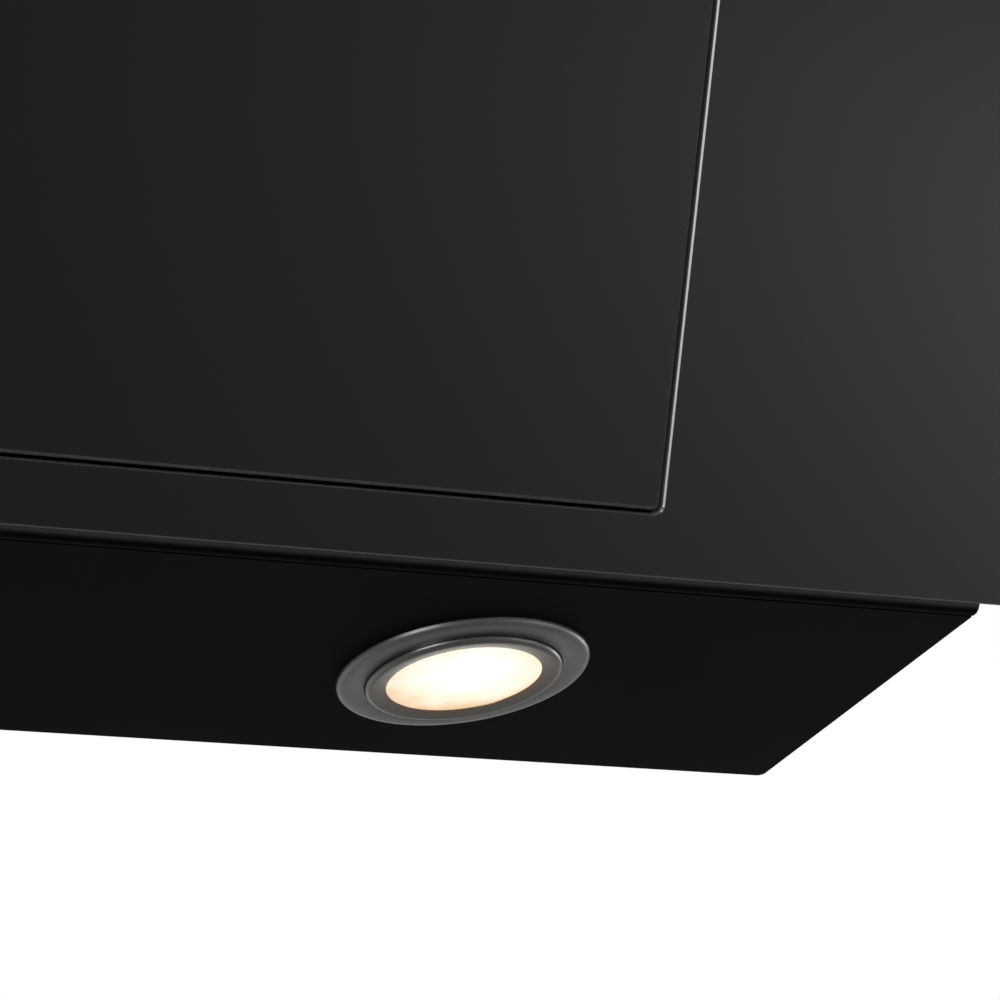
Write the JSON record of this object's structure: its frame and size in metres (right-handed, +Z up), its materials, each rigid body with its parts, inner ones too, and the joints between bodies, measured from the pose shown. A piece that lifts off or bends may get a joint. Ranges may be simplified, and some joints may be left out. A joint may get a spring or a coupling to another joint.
{
  "type": "under cabinet range hood",
  "caption": "Under-cabinet range hood: black steel body with a leaning black glass front, a hinged glass flap over the filters, ducted blower and two round lamps in the underside.",
  "frame": {"origin": "centre of the cabinet screws on the top face", "axes": "+X to the right seen from the front, +Y towards the wall, +Z up towards the cabinet"},
  "size_m": [0.752, 0.3299, 0.4314],
  "materials": {
    "black_paint": "satin black powder coat",
    "black_glass": "black tempered glass, opaque, polished",
    "galvanised_steel": "zinc-coated sheet",
    "filter_aluminium": "satin",
    "dark_plastic": "fine matt",
    "bumper_rubber": "matt",
    "circuit_board": "solder-resist green",
    "lamp_metal": "dark satin nickel",
    "lamp_lens": "frosted glass, lit warm white",
    "reflector": "bright spun aluminium",
    "ceramic": "glazed white ceramic"
  },
  "bodies": {
    "hood": {"back_panel": "black_paint", "side_panel_left": "black_paint", "side_panel_right": "black_paint", "bottom_panel": "black_paint", "top_panel": "black_paint", "front_frame": "black_paint", "glass_front": "black_glass", "touch_module": "dark_plastic", "intake_frame": "black_paint", "grease_tray": "filter_aluminium", "filter_left": "filter_aluminium", "filter_right": "filter_aluminium", "flap_bumpers": "bumper_rubber", "hinge_bracket_left": "galvanised_steel", "hinge_bracket_right": "galvanised_steel", "flap_gearmotor": "dark_plastic", "scroll_wrap": "galvanised_steel", "scroll_side_left": "galvanised_steel", "scroll_side_right": "galvanised_steel", "motor": "galvanised_steel", "motor_bracket": "galvanised_steel", "blower_nuts": "galvanised_steel", "duct_collar": "galvanised_steel", "collar_flange": "galvanised_steel", "collar_screws": "galvanised_steel", "damper_axle": "galvanised_steel", "electrics_box": "galvanised_steel", "electrics_cover": "galvanised_steel", "control_board": "circuit_board", "capacitor": "filter_aluminium", "cable_gland": "dark_plastic", "lamp_transformer": "dark_plastic", "lamp_bezel_left": "lamp_metal", "lamp_bezel_right": "lamp_metal", "lamp_ring_left": "lamp_metal", "lamp_ring_right": "lamp_metal", "lamp_lens_left": "lamp_lens", "lamp_lens_right": "lamp_lens", "lamp_can_left": "galvanised_steel", "lamp_can_right": "galvanised_steel", "lamp_reflector_left": "reflector", "lamp_reflector_right": "reflector", "lamp_holder_left": "ceramic", "lamp_holder_right": "ceramic", "lamp_bulb_left": "lamp_lens", "lamp_bulb_right": "lamp_lens", "lamp_clips_left": "galvanised_steel", "lamp_clips_right": "galvanised_steel"},
    "flap": {"flap_glass": "black_glass", "flap_carrier": "black_paint", "flap_shaft": "galvanised_steel", "flap_pin": "galvanised_steel"},
    "wheel": {"impeller": "dark_plastic", "motor_shaft": "galvanised_steel"},
    "damper_front": {"damper_front": "dark_plastic"},
    "damper_rear": {"damper_rear": "dark_plastic"},
    "latch_left": {"latch_left": "dark_plastic"},
    "latch_right": {"latch_right": "dark_plastic"}
  },
  "joints": [
    {"name": "flap_hinge", "type": "hinge", "parent": "hood", "child": "flap", "pos_m": [0, -0.09339, -0.10757], "axis": [-1, 0, 0], "range_deg": [0, 60]},
    {"name": "wheel_spin", "type": "hinge", "parent": "hood", "child": "wheel", "pos_m": [0, 0.07799, -0.106], "axis": [1, 0, 0], "continuous": true},
    {"name": "damper_front_hinge", "type": "hinge", "parent": "hood", "child": "damper_front", "pos_m": [0, 0.03496, 0.016], "axis": [-1, 0, 0], "range_deg": [0, 75]},
    {"name": "damper_rear_hinge", "type": "hinge", "parent": "hood", "child": "damper_rear", "pos_m": [0, 0.03496, 0.016], "axis": [1, 0, 0], "range_deg": [0, 75]},
    {"name": "latch_left_slide", "type": "slide", "parent": "hood", "child": "latch_left", "axis": [0, 0.5, -0.866], "range_m": [0, 0.006], "stiffness_N_per_m": 300, "springref_m": -0.002},
    {"name": "latch_right_slide", "type": "slide", "parent": "hood", "child": "latch_right", "axis": [0, 0.5, -0.866], "range_m": [0, 0.006], "stiffness_N_per_m": 300, "springref_m": -0.002}
  ]
}
